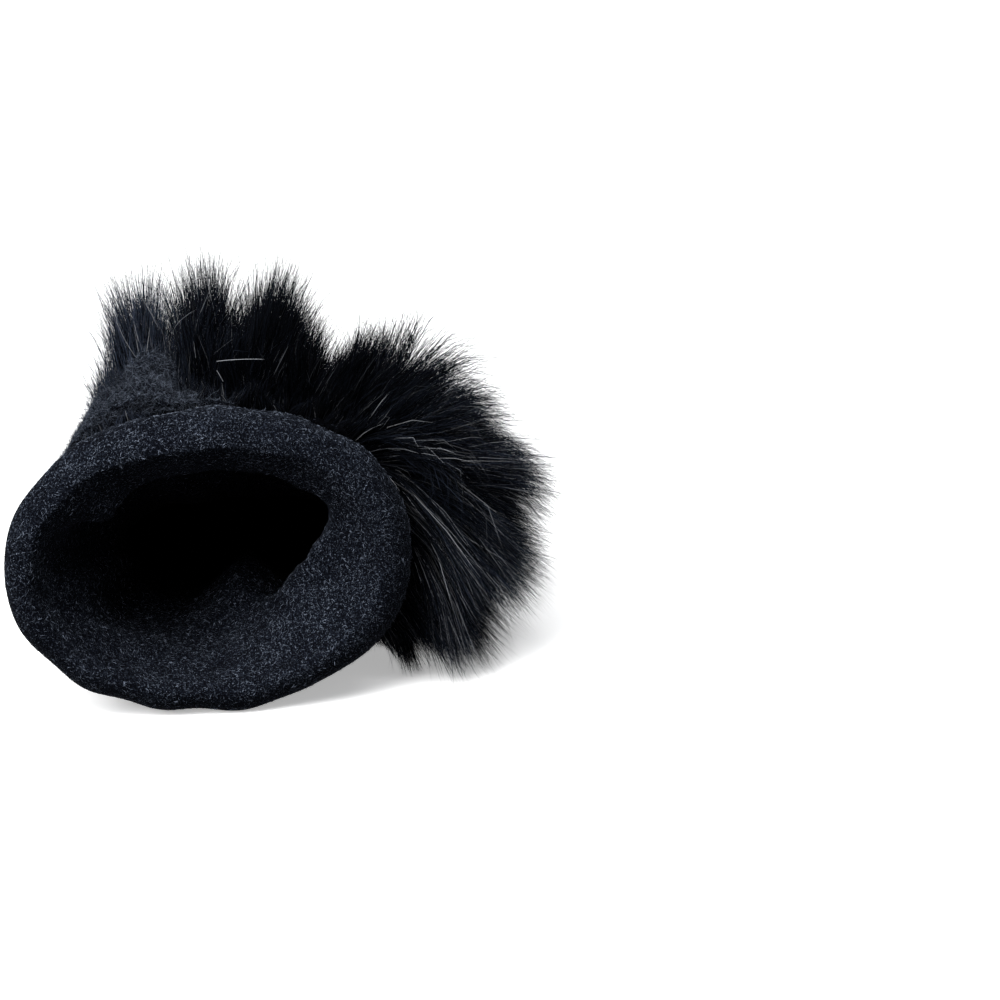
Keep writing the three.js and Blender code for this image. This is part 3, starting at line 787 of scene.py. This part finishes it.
fur = fur_material("long fur", (0.0003, 0.0004, 0.0007), (0.042, 0.053, 0.08), 0.5)
for number in range(FUR_PIECES):
    hairs = grow(
        f"fur_hair_{number + 1}", number + 1, HAIRS, (0.55, 1.05), 0.06, 0.15, (0.02, 1.0), 0.85)
    finish_piece(hairs, fur, "fur", "fur_band")

# %% [markdown]
# Guard hairs are longer and stiffer than the rest. Their pale tips are painted glints: they stand in
# for the light that makes dark fur glitter. They grow like the others, from a second seed. A few loose
# ones have slipped out of the combing and lie across it, and a short table places each of these.

# %% Guard hairs
# Near-white at the tips: painted glints on the longest hairs.
guard = fur_material("guard hair with painted glints", (0.002, 0.003, 0.005), (0.85, 0.89, 0.96), 0.35, 0.2)
guard_hairs = grow(
    "fur_guard_hair", 77, GUARD_HAIRS, (0.25, 0.98), 0.16, 0.14, (0.02, 1.0), 0.75, tone_power=2.0,
    pale=True, shaded_root_tone=0.04, root_power=2.6)
finish_piece(guard_hairs, guard, "fur", "fur_band")

# %% Stray hairs
STRAYS = table(
    "angle along depth heading length bow",
    (90, 20, 11, 9, 11, 0.12), (90.5, 20, 12.5, 43, 6, 0.1), (90, 20, 9, -54, 3, 0.1),
    (102.5, 20, 27.5, -53, 9, 0.12), (102, 20, 26.5, -57, 6.5, 0.1), (108, 20, 22.5, -66, 9, -0.1),
    (98, 20, 17.5, 88, 8, 0.9), (96, 19, 2.5, -40, 4, 0.1),
)
STRAY_LEAN = -0.35
STRAY_WIDTH = 0.12
STRAY_TONE = 0.3

stray_count = len(STRAYS["angle"])
stray_turn = np.radians(STRAYS["angle"])
stray_root = hand_point(STRAYS["along"], stray_turn, PELT_WALL + STRAYS["depth"])
stray_heading = np.radians(STRAYS["heading"])
stray_way = way_across(stray_heading, STRAY_LEAN)
stray_bend = STRAYS["bow"][:, None] * way_across(stray_heading - np.pi / 2, 0) + (0, 0.2, 0)
strays = hair_mesh(
    "fur_stray_hair", stray_root, stray_way, STRAYS["length"], stray_bend,
    np.full(stray_count, STRAY_WIDTH), np.full(stray_count, STRAY_TONE), 7, parts=8, shaded_root_tone=0.5,
    root_power=1)
finish_piece(strays, guard, "fur", "fur_band")
print("stray hairs", stray_count)

# %% [markdown]
# ### Short nap
# The wool's loose hairs, and the woolly under-hair that shows low on the left of the fur, are only a
# millimetre or two long, with a few longer wisps in the under-hair that blur its edge. They are
# scattered over a finished mesh: a triangle is drawn by its area, then a point in it, and a short
# ribbon leaves it near the surface, whichever way.

# %% Scatter short hairs
def scatter(piece, count, draw, wanted):
    """Points and normals on a mesh's triangles, in mm of the frame, where wanted(points) is high."""
    mesh = piece.data
    mesh.calc_loop_triangles()
    corners = np.empty(len(mesh.loop_triangles) * 3, int)
    mesh.loop_triangles.foreach_get("vertices", corners)
    spots = vertex_array(mesh)[corners].reshape(-1, 3, 3) / MM
    across = np.cross(spots[:, 1] - spots[:, 0], spots[:, 2] - spots[:, 0])
    double_area = np.linalg.norm(across, axis=1)
    weight = double_area * wanted(spots.mean(1))
    chosen = draw.choice(len(spots), count, p=weight / weight.sum())
    a, b = draw.random((2, count, 1))
    a, b = np.where(a + b > 1, 1 - a, a), np.where(a + b > 1, 1 - b, b)
    first, second, third = spots[chosen].transpose(1, 0, 2)
    return (
        first + a * (second - first) + b * (third - first),
        across[chosen] / double_area[chosen, None],
    )


def nap(name, under, count, seed, wanted, lengths, width, rise, tone_range):
    """A piece of short curly hairs on another piece's surface."""
    draw = np.random.default_rng(seed)
    roots, normals = scatter(under, count, draw, wanted)
    lying = np.cross(normals, draw.normal(size=(count, 3)))
    lying /= np.linalg.norm(lying, axis=1, keepdims=True)
    ways = lying + normals * draw.uniform(*rise, count)[:, None]
    bends = np.cross(ways, normals) * draw.normal(scale=0.5, size=(count, 1)) - 0.35 * normals
    tones = tone_range[0] + (tone_range[1] - tone_range[0]) * draw.random(count) ** 2.4
    return hair_mesh(
        name, roots, ways, draw.uniform(*lengths, count), bends, width * draw.uniform(0.7, 1.3, count),
        tones, seed + 100, parts=2, shaded_root_tone=0.5, root_power=1, to_frame=lambda points: points * MM)


# %% Nap of the wool
WOOL_HAIRS = 38000
NAP_REACH = 60


def near_mouth(spots):
    """Only the rim and what can be seen inside."""
    return (spots[:, 1] < OFFSET[1] / MM + NAP_REACH).astype(float)


nap_material = fur_material("wool nap", (0.0012, 0.0017, 0.003), (0.37, 0.43, 0.55), 0.9)
wool_nap = nap("wool_nap", lining, WOOL_HAIRS, 5, near_mouth, (0.5, 1.3), 0.065, (0.05, 0.7), (0.05, 1.0))
finish_piece(wool_nap, nap_material, "wool", "wool_lining")

# %% Woolly under-hair
UNDER_HAIRS = 44000
WISPS = 6000

under_hair = nap(
    "fur_under_hair", pelt, UNDER_HAIRS, 6, low_on_left, (0.6, 1.8), 0.075, (0.1, 1.2), (0.01, 0.5))
finish_piece(under_hair, nap_material, "fur", "fur_band")
wisps = nap("fur_under_wisp", pelt, WISPS, 8, low_on_left, (2, 4.5), 0.08, (0.2, 1.6), (0.0, 0.4))
finish_piece(wisps, nap_material, "fur", "fur_band")

# %% [markdown]
# ## The leather hand
# The hand and each finger are closed tubes at first. Joined and remeshed with voxels they become one
# skin, with soft roots between the fingers as stretched leather has. The skin is then cut open at the
# cuff and gets its thickness inwards.

# %% Tubes for the hand and the fingers
FINGERS = table(
    "x y heading turn reach half_width height flare",
    (35.6, 148, 7.5, -6, 91, 11.2, 14.6, 0),
    (12.3, 148, 2, -2.5, 102, 11.4, 14.8, 0),
    (-11.0, 148, -4, 3, 96, 11.0, 14.4, 0),
    (-33.4, 148, -11, 7, 78, 9.9, 13.2, 0),
    (22, 98, 42, -27, 82, 12.6, 17.0, 4.5),
)
TIP_ROUND = 12
TUBE_START = 12
KNUCKLE_END = 171
KNUCKLE_ROUND = 15


def bend_sphere(around, along, place):
    """Add a sphere and draw it out into a closed tube: place(turn, share) gives each point."""
    bpy.ops.object.select_all(action="DESELECT")
    bpy.ops.mesh.primitive_uv_sphere_add(segments=around, ring_count=along, radius=1)
    made = bpy.context.object
    flat = np.empty(len(made.data.vertices) * 3)
    made.data.vertices.foreach_get("co", flat)
    x, y, z = flat.reshape(-1, 3).T
    share = np.arccos(np.clip(-z, -1, 1)) / np.pi
    made.data.vertices.foreach_set("co", (place(np.arctan2(y, x), share) * MM).ravel())
    bpy.ops.object.mode_set(mode="EDIT")
    bpy.ops.mesh.select_all(action="SELECT")
    bpy.ops.mesh.normals_make_consistent(inside=False)
    bpy.ops.object.mode_set(mode="OBJECT")
    return made


def hand_tube(turn, share):
    """The hand without fingers, from the cuff to the knuckles."""
    along = TUBE_START + (KNUCKLE_END - TUBE_START) * share
    t = np.clip((along - (KNUCKLE_END - KNUCKLE_ROUND)) / KNUCKLE_ROUND, 0, 1)
    closing = np.sqrt(1 - t * t) * smooth(share, -0.001, 0.01)
    return hand_point(along, turn, 0.0, closing)


def finger_line(row):
    """A finger's sizes, and its gently turning middle line: how far along, x and y."""
    size = {name: column[row] for name, column in FINGERS.items()}
    walk = np.linspace(0, size["reach"], 200)
    heading = np.radians(size["heading"] + size["turn"] * walk / size["reach"])
    step = walk[1] - walk[0]
    x = size["x"] + np.cumsum(np.sin(heading)) * step
    y = size["y"] + np.cumsum(np.cos(heading)) * step
    return size, walk, x, y


def finger_tube(row):
    """A tube along a finger's line, closed by a round tip."""
    size, walk, x, y = finger_line(row)

    def place(turn, share):
        distance = size["reach"] * share
        now = np.radians(size["heading"] + size["turn"] * share)
        t = np.clip((distance - (size["reach"] - TIP_ROUND)) / TIP_ROUND, 0, 1)
        closing = np.sqrt(1 - t * t) * smooth(share, -0.001, 0.01)
        taper = 1 - 0.1 * smooth(distance, 0, size["reach"] - TIP_ROUND)
        taper -= 0.14 * (1 - smooth(distance, 0, 14))
        widening = size["flare"] * (1 - smooth(distance, 10, 46))
        half = size["height"] / 2
        rise = half * closing
        side, height = section(
            turn, (size["half_width"] + widening) * taper * closing, half - rise - 0.5, half + rise,
            2.2, 2.7)
        return np.stack([
            np.interp(distance, walk, x) + side * np.cos(now),
            np.interp(distance, walk, y) - side * np.sin(now),
            np.maximum(height, 0),
        ], -1)

    return bend_sphere(40, 90, place)


hand_part = bend_sphere(110, 120, hand_tube)
finger_parts = [finger_tube(row) for row in range(4)]
thumb_part = finger_tube(4)
print("tubes", 2 + len(finger_parts))


# %% Remember where hand and thumb meet
def surface_tree(*objects):
    """A search tree of the surfaces of some objects."""
    gathered = bmesh.new()
    for made in objects:
        gathered.from_mesh(made.data)
    tree = BVHTree.FromBMesh(gathered)
    gathered.free()
    return tree


thumb_surface = surface_tree(thumb_part)
hand_surface = surface_tree(hand_part, *finger_parts)

# %% Join, remesh and open the cuff
LEATHER_FRONT = 19
VOXEL = 1.38

bpy.ops.object.select_all(action="DESELECT")
for part in (hand_part, *finger_parts, thumb_part):
    part.select_set(True)
bpy.context.view_layer.objects.active = hand_part
bpy.ops.object.join()
leather = bpy.context.object
leather.name = "leather_hand"


def apply_modifier(piece, kind, **settings):
    """Add a modifier with these settings and apply it."""
    bpy.ops.object.select_all(action="DESELECT")
    bpy.context.view_layer.objects.active = piece
    piece.select_set(True)
    modifier = piece.modifiers.new(kind.lower(), kind)
    for name, value in settings.items():
        setattr(modifier, name, value)
    bpy.ops.object.modifier_apply(modifier=modifier.name)


apply_modifier(leather, "REMESH", mode="VOXEL", voxel_size=VOXEL * MM)
apply_modifier(leather, "SMOOTH", factor=0.6, iterations=5)
bpy.ops.object.mode_set(mode="EDIT")
bpy.ops.mesh.select_all(action="SELECT")
bpy.ops.mesh.bisect(
    plane_co=(0, LEATHER_FRONT * MM, 0), plane_no=(0, 1, 0), clear_inner=True)
bpy.ops.object.mode_set(mode="OBJECT")

knuckles = leather.vertex_groups.new(name="knuckles")
for vertex in leather.data.vertices:
    y = vertex.co.y / MM
    weight = float(smooth(y, 150, 158) * (1 - smooth(y, 177, 186)))
    if weight > 0.01:
        knuckles.add([vertex.index], weight, "REPLACE")
apply_modifier(leather, "SMOOTH", factor=0.6, iterations=30, vertex_group="knuckles")
print("skin", len(leather.data.vertices), "vertices")

# %% [markdown]
# Seams come after the remesh, which would wipe them out. Where the back meets the palm, where the
# thumb is set in and along the strips between the fingers, the leather is drawn in to a narrow
# valley, and it puffs and puckers a little on both sides. A worn glove also keeps the marks of the
# hand: creases across the joints, and soft folds gathered across the wrist. All of them are one
# distance for each vertex, along its normal, so they can be added up before the mesh is touched.

# %% Seams and wrinkles
SEAM = table(
    "along height",
    (-20, 33), (20, 31), (42, 27), (62, 22.4), (80, 17), (98, 13.6), (120, 11.6), (145, 9.8),
    (168, 7.4), (300, 7.0),
)
STRIP_LOW = 3.8
STRIP_HIGH = 10.2
STRIP_SIDES = ((-1,), (-1, 1), (-1, 1), (1,))
STRIP_TO_TIP = 6.6
FINGER_REACH = 12
ON_THUMB = 3


def beside_finger(points, row):
    """Where points lie along a finger and to its side, and which of them belong to it."""
    size, walk, x, y = finger_line(row)
    along = np.interp(points[:, 1], y, walk)
    beside = points[:, 0] - np.interp(points[:, 1], y, x)
    return size, along, beside, (np.abs(beside) < FINGER_REACH) & (points[:, 1] > y[0] + 4)


def seam_distances(points):
    """How far each point, in mm, lies from the nearest seam, and which ones are on the thumb."""
    height = points[:, 2]
    nearest = np.abs(height - read(SEAM, "height", points[:, 1]))
    for row, sides in enumerate(STRIP_SIDES):
        size, along, beside, mine = beside_finger(points, row)
        end = size["reach"] - STRIP_TO_TIP
        edges = np.minimum(np.abs(height - STRIP_LOW), np.abs(height - STRIP_HIGH))
        tip = np.hypot(along - end, np.maximum(np.abs(height - 7) - 3.2, 0))
        strip = mine & np.isin(np.sign(beside), sides)
        nearest = np.where(strip & (along < end), edges, nearest)
        nearest = np.where(strip, np.minimum(nearest, tip), nearest)
    to_thumb = np.array([thumb_surface.find_nearest(Vector(p * MM))[3] for p in points]) / MM
    to_hand = np.array([hand_surface.find_nearest(Vector(p * MM))[3] for p in points]) / MM
    thumb = np.hypot(to_thumb, to_hand)
    on_thumb = to_hand > ON_THUMB
    return np.where(on_thumb, thumb, np.minimum(nearest, thumb)), on_thumb


# %% Creases
JOINTS = (0.36, 0.66)
JOINT_LINES = (-3.1, 0, 2.7)
CREASE_WIDTH = 0.9


def joint_creases(points, on_thumb):
    """Short creases across the fingers and the thumb, where they bend when worn."""
    depth = np.zeros(len(points))
    for row in range(5):
        size, along, beside, mine = beside_finger(points, row)
        mine = mine & (on_thumb if row == 4 else ~on_thumb)
        across = np.clip(1 - (beside / size["half_width"]) ** 2, 0, 1)
        wander = 0.9 * soft_noise(points, 7, 40 + row)
        for joint in JOINTS:
            for shift in JOINT_LINES:
                apart = along + wander - joint * size["reach"] - shift
                depth += mine * across * np.exp(-(apart / CREASE_WIDTH) ** 2)
    return depth


def gathers(points):
    """Soft folds across the narrow of the wrist, and small ones over the knuckles."""
    y = points[:, 1]
    wrist = smooth(y, 58, 76) * (1 - smooth(y, 100, 124))
    knuckles = smooth(y, 140, 156) * (1 - smooth(y, 172, 190))
    across = points * (0.22, 1, 0.4)
    return wrist * soft_noise(across, 5.0, 21) + 0.4 * knuckles * soft_noise(across, 2.6, 26)


# %% Draw in the seams
SEAM_DEPTH = 0.6
PUFF = 0.2
PUCKER = 0.16
GATHER_DEPTH = 0.48
CREASE_DEPTH = 0.42

points = vertex_array(leather.data) / MM
normals = np.empty(len(points) * 3)
leather.data.vertices.foreach_get("normal", normals)
normals = normals.reshape(-1, 3)
seam_distance, on_thumb = seam_distances(points)
valley = np.exp(-(seam_distance / 0.8) ** 2)
beside_valley = np.exp(-((seam_distance - 2.3) / 1.3) ** 2)
groove = -SEAM_DEPTH * valley + PUFF * beside_valley
pucker = PUCKER * soft_noise(points, 2.3, 24) * np.exp(-(seam_distance / 2.6) ** 2)
wrinkle = 0.2 * soft_noise(points, 14, 22) + 0.06 * soft_noise(points, 3, 23)
wrinkle = wrinkle + GATHER_DEPTH * gathers(points)
moved = groove + pucker + wrinkle - CREASE_DEPTH * joint_creases(points, on_thumb)
print("drawn in by up to", round(float(-moved.min()), 2), "mm")
points = points + normals * moved[:, None]
points[:, 2] = np.maximum(points[:, 2], 0)
leather.data.vertices.foreach_set("co", in_frame(points).ravel())
seam_attribute = leather.data.attributes.new("seam_distance", "FLOAT", "POINT")
seam_attribute.data.foreach_set("value", seam_distance)
apply_modifier(leather, "SOLIDIFY", thickness=LEATHER_WALL * MM, offset=-1)
bpy.ops.object.shade_smooth()


# %% Leather material
def leather_material():
    """Black nappa: fine pebbles with hairline creases between them, darker in the seams."""
    material, tree, shader = new_material("black nappa")
    place = add_node(tree, "TexCoord").outputs["Object"]
    pebbles = add_node(tree, "TexVoronoi", {"Vector": place, "Scale": 1400}, feature="F1")
    broad = add_node(tree, "TexNoise", {"Vector": place, "Scale": 260, "Detail": 5})
    height = add_node(
        tree, "Math", {0: pebbles.outputs["Distance"], 1: broad.outputs["Fac"]}, operation="ADD")
    bump = add_node(tree, "Bump", {"Height": height.outputs[0], "Strength": 0.35, "Distance": 0.2 * MM})
    tree.links.new(bump.outputs[0], shader.inputs["Normal"])
    seam = add_node(tree, "Attribute", attribute_name="seam_distance").outputs["Fac"]
    # Darker towards the seams.
    away_from_seam = add_node(tree, "MapRange", {"Value": seam, "From Min": 0.2, "From Max": 2.0})
    tone = add_node(tree, "Math", {0: away_from_seam.outputs[0], 1: broad.outputs["Fac"]}, operation="MULTIPLY")
    colour = blend_colours(
        tree, tone.outputs[0], (0.1, (0.0025, 0.0025, 0.003)), (0.8, (0.009, 0.009, 0.0105)))
    tree.links.new(colour, shader.inputs["Base Color"])
    rough = add_node(
        tree, "MapRange",
        {"Value": broad.outputs["Fac"], "From Min": 0.3, "From Max": 0.7, "To Min": 0.34, "To Max": 0.46})
    shader.inputs["Specular IOR Level"].default_value = 0.4
    tree.links.new(rough.outputs[0], shader.inputs["Roughness"])
    return material


finish_piece(
    leather, leather_material(), "leather", "leather_back", "leather_palm", "leather_thumb",
    "fourchette_index_middle", "fourchette_middle_ring", "fourchette_ring_little")
